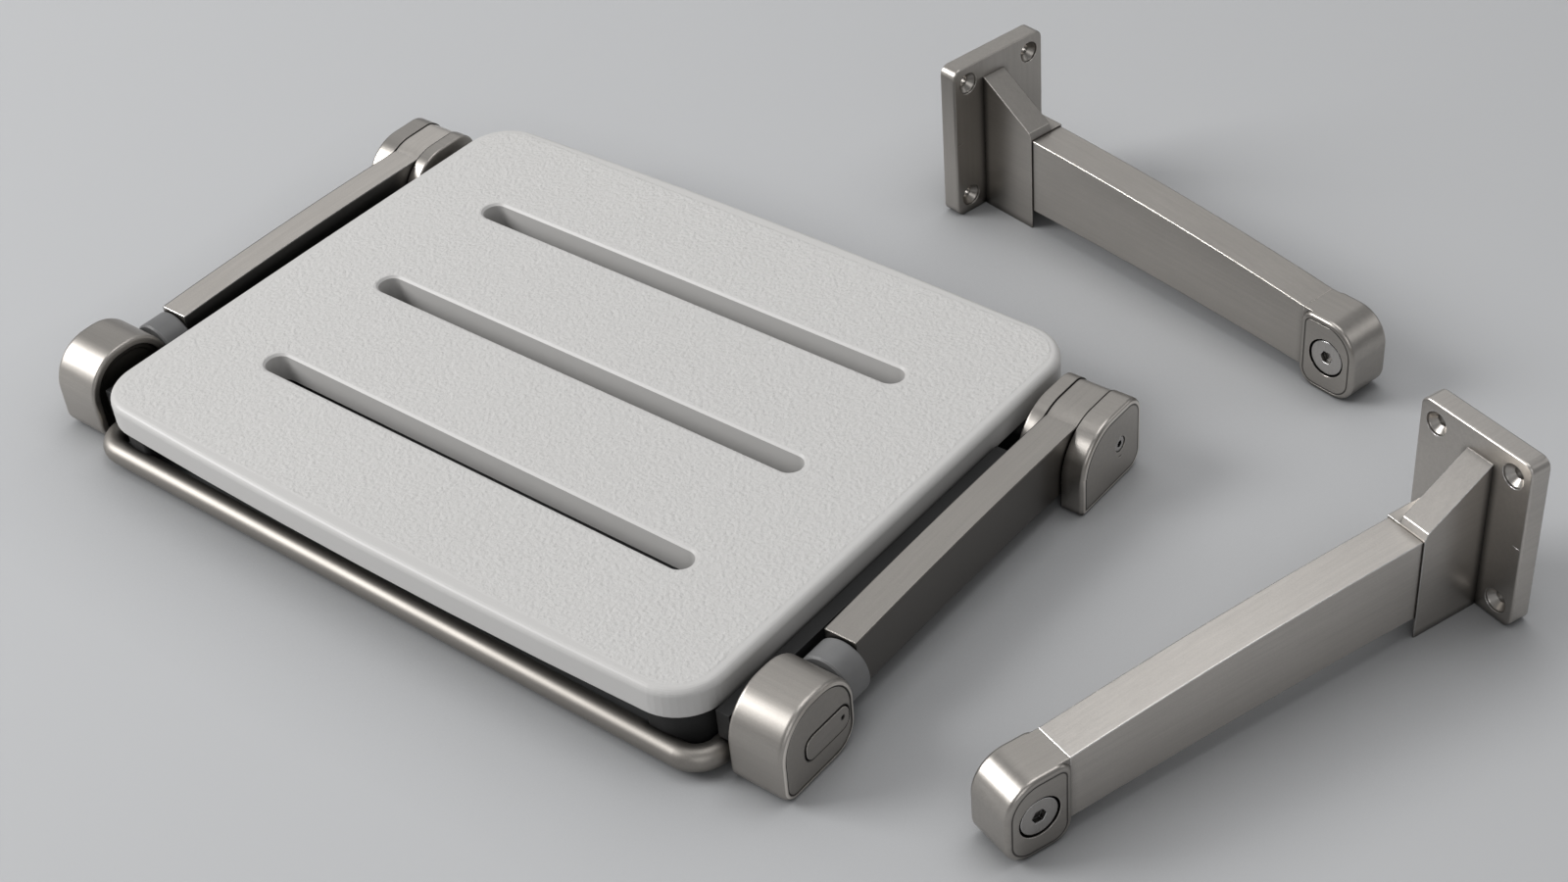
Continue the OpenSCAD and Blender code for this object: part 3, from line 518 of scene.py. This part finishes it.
def brushed_metal(name, tint, rough, along, turn=0.0, grain=1.0, edge=METAL_EDGE,
                  lines=None, light=None):
    """Satin metal with a faint grain along one axis of the frame, or of a turned bracket."""
    mat, g = new_material(name)
    place = g.place()
    turned = g.mapped(place, turn=-turn) if turn else place
    fine = g.grain(turned, along, *FINE_GRAIN)
    band = g.grain(turned, along, *BAND_GRAIN)
    speck = g.noise(place, *SPECK_GRAIN)
    cloud = g.noise(place, *CLOUD_GRAIN)
    streaks = g.add(g.times(fine, FINE_SHARE), g.times(band, BAND_SHARE))
    tone = g.add(g.times(streaks, STREAK_SHARE), g.times(speck, SPECK_SHARE))
    low, high = (shaded(tint, share) for share in TONE_TINTS)
    base = g.mix(g.span(tone, *TONE_SPAN), low, high)
    base = g.mix(g.span(cloud, *CLOUD_SPAN), base, shaded(tint, CLOUD_TINT))
    # Convex edges get a painted highlight in their colour, and a lower roughness.
    edge_band = g.edge_mask(edge)
    base = g.mix(g.times(edge_band, EDGE_HIGHLIGHT_SHARE), base, shaded(tint, EDGE_HIGHLIGHT_TINT))
    # Painted shade: darker in recesses and near other parts, near black in tight seams.
    base = g.mix(g.hollow(*WIDE_HOLLOW), shaded(tint, WIDE_SHADE_TINT), base)
    base = g.mix(g.hollow(*TIGHT_HOLLOW), shaded(tint, TIGHT_SHADE_TINT), base)
    normal = g.soft_edges(edge)
    # Painted light: highlights on the rim crests and light on the arms' outer flanks.
    if light is not None:
        base = g.mix(g.times(light(g, place), PAINTED_LIGHT_SHARE), base, shaded(tint, PAINTED_LIGHT_TINT))
    # Drawn lines darken the base: painted shade in the rim groove and seams, a painted shadow in
    # the button's slit, and the button's dark dot.
    if lines is not None:
        drawn = lines(g, place)
        base = g.mix(g.times(drawn, LINE_SHARE), base, shaded(tint, LINE_TINT))
        normal = g.bump(drawn, -LINE_DEPTH, LINE_BUMP, normal)
    roughness = g.add(rough + METAL_ROUGH_BASE, g.times(fine, METAL_ROUGH_FINE))
    roughness = g.add(roughness, g.times(cloud, METAL_ROUGH_CLOUD))
    roughness = g.less(roughness, g.times(edge_band, METAL_ROUGH_EDGE), clamp=True)
    normal = g.bump(tone, GRAIN_DEPTH * grain, GRAIN_BUMP, normal)
    g.shade(base, roughness, normal, metal=1.0)
    return mat


def slab_field(g, x, y, z):
    """1 on the grained field of the slab's top, 0 on its border and round the slots."""
    dx = g.less(g.size(x), SLAB_HALF[0] - FIELD_INSET[0])
    dy = g.less(g.size(g.less(y, SLAB_CENTRE_Y)), SLAB_HALF[1] - FIELD_INSET[1])
    corner = g.length(g.larger(dx, 0.0), g.larger(dy, 0.0))
    reach = g.larger(corner, g.larger(dx, dy))
    upper = g.span(z, SLAB_TOP_Z - TOP_FADE[0], SLAB_TOP_Z - TOP_FADE[1])
    field = g.times(g.span(reach, *FIELD_FADE, smooth=True), upper)
    for share in (-1, 0, 1):
        gx = g.larger(g.less(g.size(x), SLOT_HALF_L - SLOT_HALF_W), 0.0)
        gy = g.less(y, SLAB_CENTRE_Y + share * SLOT_PITCH)
        near = SLOT_HALF_W + SLOT_FADE[0]
        far = SLOT_HALF_W + SLOT_FADE[1]
        field = g.times(field, g.span(g.length(gx, gy), near, far, smooth=True))
    return field


def slab_plastic():
    """Off-white plastic with an orange-peel grain inside a smooth border."""
    mat, g = new_material("slab_plastic")
    place = g.place()
    field = slab_field(g, *g.split(place))
    warp = g.noise(place, *WARP_GRAIN)
    cells = g.cells(place, CELL_SCALE)
    pebble = g.noise(place, *PEBBLE_GRAIN)
    height = g.add(g.times(cells, CELL_SHARE), g.times(pebble, PEBBLE_SHARE))
    height = g.times(g.add(height, g.times(warp, WARP_SHARE)), field)
    base = g.mix(g.times(field, g.span(pebble, *PEBBLE_SPAN)), SLAB_LOW, SLAB_HIGH)
    stain = g.noise(place, *STAIN_GRAIN)
    base = g.mix(g.span(stain, *STAIN_SPAN), base, shaded(SLAB_LOW, STAIN_TINT))
    # Painted shade: darker in the slots and near other parts.
    base = g.mix(g.hollow(SLAB_HOLLOW), shaded(SLAB_LOW, SLAB_SHADE_TINT), base)
    roughness = g.add(SLAB_ROUGH, g.times(field, SLAB_ROUGH_FIELD))
    g.shade(base, roughness, g.bump(height, SLAB_DEPTH, SLAB_BUMP), spec=SLAB_SPEC)
    return mat


def dull(name, tint, rough):
    """Rubber, powder coat or moulded plastic with a fine matt grain."""
    mat, g = new_material(name)
    place = g.place()
    fine = g.noise(place, *DULL_GRAIN)
    cloud = g.noise(place, *DULL_CLOUD)
    # Convex edges are lighter than the flats.
    edge_band = g.times(g.edge_mask(DULL_EDGE), DULL_EDGE_SHARE)
    base = g.mix(g.span(cloud, *DULL_SPAN), tint, shaded(tint, *DULL_CLOUD_TINT))
    base = g.mix(edge_band, base, shaded(tint, *DULL_EDGE_TINT))
    roughness = g.add(rough + DULL_ROUGH_BASE, g.times(fine, DULL_ROUGH_FINE))
    normal = g.bump(fine, DULL_DEPTH, DULL_BUMP, g.soft_edges(DULL_ROUND))
    g.shade(base, roughness, normal, spec=DULL_SPEC)
    return mat


def floor_paper():
    """Pale paper with a soft contact shade under whatever stands on it."""
    mat, g = new_material("floor_paper")
    place = g.place()
    cloud = g.noise(place, *PAPER_CLOUD)
    fine = g.noise(place, *PAPER_GRAIN)
    low, high = (shaded(FLOOR_COLOUR, share) for share in PAPER_TINTS)
    base = g.mix(cloud, low, high)
    base = g.mix(g.hollow(PAPER_HOLLOW), shaded(FLOOR_COLOUR, PAPER_HOLLOW_TINT), base)
    g.shade(base, PAPER_ROUGH, g.bump(fine, PAPER_DEPTH, PAPER_BUMP), spec=PAPER_SPEC)
    return mat


def nickel(name, along=AXIS_X, tint=NICKEL, rough=NICKEL_ROUGH, **more):
    return brushed_metal("nickel_" + name, tint, rough, along, **more)


def seat_finishes():
    """Finish of each node of the seat unit, by the start of its name, the closest start first."""
    steel = brushed_metal("plain_steel", *STEEL, AXIS_X, grain=STEEL_GRAIN)
    bolt = brushed_metal("bolt_steel", *BOLT, AXIS_Z, grain=BOLT_GRAIN)
    dark = dull("dark_frame", *FRAME)
    bush = dull("bearing_polymer", *BUSH)
    house = nickel("house", rough=HOUSE_ROUGH, lines=house_lines,
                   light=rim_crest_highlight(HOUSE_OUTLINE, HOUSE_FACE_X))
    hinge = nickel("hinge", lines=hinge_lines, light=rim_crest_highlight(HINGE_OUTLINE, HINGE_FACE_X))
    arm = {"edge": ARM_EDGE, "lines": hinge_lines, "light": arm_flank_light}
    return [
        ("seat_slab", slab_plastic()),
        ("front_bar", nickel("tube", tint=NICKEL_DARK, rough=TUBE_ROUGH)),
        ("corner_pads", dull("black_rubber", *RUBBER)),
        ("rear_bar", dark),
        ("cross_bars", dark),
        ("tie_bar", dark),
        ("rail_screws", steel),
        ("slab_screws", steel),
        ("tie_screws", steel),
        ("rail_", dull("black_rail", *RAIL)),
        ("sleeve", dull("sleeve_rubber", *SLEEVE)),
        ("housing_lid", brushed_metal("dark_lid", *LID, AXIS_X)),
        ("bush", bush),
        ("brake", bush),
        ("push_rod", steel),
        ("rod_spring", steel),
        ("hinge_hub", steel),
        ("hinge_", hinge),
        ("pivot_screw", bolt),
        ("nose_bolt", bolt),
        ("nose_nut", steel),
        # The left arm is painted lighter than the nickel: painted light.
        ("side_arm_left", nickel("arm_left", AXIS_Y, shaded(NICKEL, LEFT_ARM_LIT_SHARE), **arm)),
        ("side_arm_right", nickel("arm", AXIS_Y, **arm)),
        ("front_housing", house),
        ("button", nickel("button", AXIS_Y, lines=button_dot)),
    ]


def bracket_finishes():
    """Finish of each node of the two wall brackets, by the start of its name."""
    # The side bracket's nickel is a lit copy: painted light.
    side = nickel("b", tint=NICKEL_LIT, turn=SIDE_TURN)
    return [
        ("wall_plate_a", nickel("z", AXIS_Z)),
        ("wall_plate_b", side),
        ("wall_socket_a", nickel("a", turn=REAR_TURN)),
        ("wall_socket_b", side),
        # The wall arms are painted lighter than their tint: painted light.
        ("wall_arm_a", nickel("arm_a", tint=shaded(NICKEL, ARM_A_LIT_SHARE), turn=REAR_TURN,
                              edge=ARM_EDGE)),
        ("wall_arm_b", nickel("arm_b", tint=shaded(NICKEL_LIT, ARM_B_LIT_SHARE), turn=SIDE_TURN,
                              edge=ARM_EDGE)),
        ("wall_nose_a", nickel("nose_a", turn=REAR_TURN, lines=nose_lines(REAR_AT, REAR_TURN))),
        ("wall_nose_b", nickel("nose_b", turn=SIDE_TURN, lines=nose_lines(SIDE_AT, SIDE_TURN))),
    ]


def paint(obj, mat):
    obj.data.materials.clear()
    obj.data.materials.append(mat)


def finish_of(name, finishes):
    return next(mat for start, mat in finishes if name.startswith(start))


# Meshes of the front housings and their lids, mirrored by side

def corner_ring(x, shape, inset=0.0):
    """Points round an outline at a given inset, front bottom first, as many for every outline."""
    (cy, cz), (half_y, half_z), radii = shape
    corners = ((-1, -1, 180.0), (1, -1, 270.0), (1, 1, 0.0), (-1, 1, 90.0))
    points = []
    for radius, (sy, sz, start) in zip(radii, corners):
        r = max(radius - inset, LEAST_R)
        oy = cy + sy * (half_y - inset - r)
        oz = cz + sz * (half_z - inset - r)
        for i in range(ARC_STEPS + 1):
            angle = math.radians(start + 90.0 * i / ARC_STEPS)
            points.append((x, oy + r * math.cos(angle), oz + r * math.sin(angle)))
    return points


def loft(name, rings, side, closed):
    """A skin over rings with equal counts: a closed loop of rings, or one capped at both ends."""
    made = bmesh.new()
    rows = [[made.verts.new((side * x, y, z)) for x, y, z in ring] for ring in rings]
    count = len(rows[0])
    pairs = list(zip(rows, rows[1:]))
    if closed:
        pairs.append((rows[-1], rows[0]))
    for low, high in pairs:
        for i in range(count):
            j = (i + 1) % count
            made.faces.new((low[i], low[j], high[j], high[i]))
    if not closed:
        made.faces.new(rows[0])
        made.faces.new(rows[-1])
    bmesh.ops.recalc_face_normals(made, faces=made.faces)
    mesh = bpy.data.meshes.new(name)
    made.to_mesh(mesh)
    made.free()
    obj = bpy.data.objects.new(name, mesh)
    bpy.context.collection.objects.link(obj)
    return obj


def round_bar(name, at, radius, reach, side):
    """A round bar along Y, as a tool for combine."""
    rows = []
    for y in reach:
        row = []
        for i in range(ROUND_STEPS):
            angle = math.radians(360.0 * i / ROUND_STEPS)
            row.append((at[0] + radius * math.cos(angle), y, at[1] + radius * math.sin(angle)))
        rows.append(row)
    return loft(name, rows, side, False)


def combine(obj, tool, operation):
    """Joins a tool to obj or cuts it out, and removes the tool."""
    step = obj.modifiers.new(operation, "BOOLEAN")
    step.operation = operation
    step.solver = "EXACT"
    step.object = tool
    bpy.context.view_layer.update()
    seen = obj.evaluated_get(bpy.context.evaluated_depsgraph_get())
    mesh = bpy.data.meshes.new_from_object(seen)
    obj.modifiers.clear()
    obj.data = mesh
    bpy.data.objects.remove(tool)


def soften(obj):
    obj.data.shade_smooth()
    obj.data.set_sharp_from_angle(angle=SHARP_TURN)
    step = obj.modifiers.new("flat_faces", "WEIGHTED_NORMAL")
    step.keep_sharp = True


def roll(start, radius, toward):
    """Rings of a quarter round between a face at start and the side wall."""
    rings = []
    for i in range(ROLL_STEPS + 1):
        angle = math.radians(90.0 * i / ROLL_STEPS)
        x = start + toward * radius * (1.0 - math.cos(angle))
        rings.append(corner_ring(x, HOUSE_OUTLINE, radius * (1.0 - math.sin(angle))))
    return rings


def housing_rings():
    """From the button's opening over the face, rim and side to the lid's recess and the cavity."""
    face = HOUSE_FACE_X - FACE_DROP
    wall = HOUSE_FACE_X - HOUSE_WALL
    seat = HOUSE_INNER_X + LID_DROP + LID_T + LID_AIR
    flat, brink, bottom, lip = (HOUSE_ROLL + share * LOOP for share in RIM_LOOPS)
    rings = [
        corner_ring(wall, BUTTON_OUTLINE, -BUTTON_GAP),
        corner_ring(face - CHAMFER, BUTTON_OUTLINE, -BUTTON_GAP),
        corner_ring(face, BUTTON_OUTLINE, -BUTTON_GAP - CHAMFER),
        corner_ring(face, HOUSE_OUTLINE, flat),
        corner_ring(face, HOUSE_OUTLINE, brink),
        corner_ring(face - GROOVE, HOUSE_OUTLINE, bottom),
        corner_ring(HOUSE_FACE_X - LIP_DROP, HOUSE_OUTLINE, lip),
    ]
    rings += roll(HOUSE_FACE_X, HOUSE_ROLL, -1.0)
    rings.append(corner_ring(HOUSE_FACE_X - HOUSE_ROLL - LOOP, HOUSE_OUTLINE))
    rings.append(corner_ring(HOUSE_INNER_X + INNER_ROLL + LOOP, HOUSE_OUTLINE))
    rings += reversed(roll(HOUSE_INNER_X, INNER_ROLL, 1.0))
    rings += [
        corner_ring(HOUSE_INNER_X, HOUSE_OUTLINE, INNER_ROLL + LOOP),
        corner_ring(HOUSE_INNER_X, HOUSE_OUTLINE, LID_INSET - CHAMFER),
        corner_ring(HOUSE_INNER_X + CHAMFER, HOUSE_OUTLINE, LID_INSET),
        corner_ring(seat, HOUSE_OUTLINE, LID_INSET),
        corner_ring(seat, CAVE_OUTLINE),
        corner_ring(wall, CAVE_OUTLINE),
    ]
    return rings


def lid_rings():
    front = HOUSE_INNER_X + LID_DROP
    edge = LID_INSET + LID_GAP
    return [
        corner_ring(front + LID_T, HOUSE_OUTLINE, edge),
        corner_ring(front + CHAMFER, HOUSE_OUTLINE, edge),
        corner_ring(front, HOUSE_OUTLINE, edge + CHAMFER),
        corner_ring(front, HOUSE_OUTLINE, edge + LID_BORDER),
        corner_ring(front + LID_DISH, HOUSE_OUTLINE, edge + LID_BORDER + LID_DISH),
    ]


def add_housing(side, word, mat):
    housing = loft("round_housing_" + word, housing_rings(), side, True)
    combine(housing, round_bar("neck", NECK_AT, NECK_R, NECK_Y, side), "UNION")
    combine(housing, round_bar("spigot", ROD_AT, SPIGOT_R, SPIGOT_Y, side), "UNION")
    combine(housing, round_bar("bore", ROD_AT, ROD_BORE_R, ROD_BORE_Y, side), "DIFFERENCE")
    combine(housing, round_bar("well", ROD_AT, SPRING_BORE_R, SPRING_BORE_Y, side), "DIFFERENCE")
    soften(housing)
    paint(housing, mat)
    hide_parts("front_housing_" + word)
    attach(housing, "seat")


def add_lid(side, word, mat):
    lid = loft("round_lid_" + word, lid_rings(), side, False)
    soften(lid)
    paint(lid, mat)
    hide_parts("housing_lid_" + word)
    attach(lid, "seat")


def dress(nodes):
    """Paints every node and adds the pieces that the scene makes."""
    finishes = seat_finishes() + bracket_finishes()
    for name, obj in nodes.items():
        paint(obj, finish_of(name, finishes))
    for side, word in SIDES:
        add_housing(side, word, finish_of("front_housing", finishes))
        add_lid(side, word, finish_of("housing_lid", finishes))


# Studio

def add_floor():
    bpy.ops.mesh.primitive_plane_add(size=FLOOR_SIZE, location=FLOOR_AT)
    floor = bpy.context.object
    floor.name = "studio_floor"
    paint(floor, floor_paper())


def add_light(name, at, size, watts):
    data = bpy.data.lights.new(name, "AREA")
    data.shape = "RECTANGLE"
    data.size, data.size_y = size
    data.energy = watts
    lamp = bpy.data.objects.new(name, data)
    bpy.context.collection.objects.link(lamp)
    lamp.location = at
    lamp.rotation_euler = (Vector(LIGHT_AIM) - Vector(at)).to_track_quat("-Z", "Y").to_euler()


def add_room():
    room = bpy.data.worlds.new("studio")
    bpy.context.scene.world = room
    room.use_nodes = True
    back = room.node_tree.nodes["Background"]
    back.inputs[0].default_value = ROOM_COLOUR
    back.inputs[1].default_value = ROOM_LEVEL


def add_camera():
    data = bpy.data.cameras.new("photo_camera")
    data.lens = LENS_MM
    data.sensor_width = SENSOR_MM
    data.clip_start = CLIP_START
    camera = bpy.data.objects.new("photo_camera", data)
    bpy.context.collection.objects.link(camera)
    back = -LOOK.normalized()
    right = (RIGHT - RIGHT.dot(back) * back).normalized()
    up = back.cross(right)
    camera.matrix_world = Matrix((
        (right.x, up.x, back.x, CAMERA_AT.x),
        (right.y, up.y, back.y, CAMERA_AT.y),
        (right.z, up.z, back.z, CAMERA_AT.z),
        (0.0, 0.0, 0.0, 1.0),
    ))
    bpy.context.scene.camera = camera


def main():
    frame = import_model()
    dress(frame["nodes"])
    add_floor()
    for light in LIGHTS:
        add_light(*light)
    add_room()
    add_camera()
    bpy.context.scene.view_settings.view_transform = "Standard"


main()
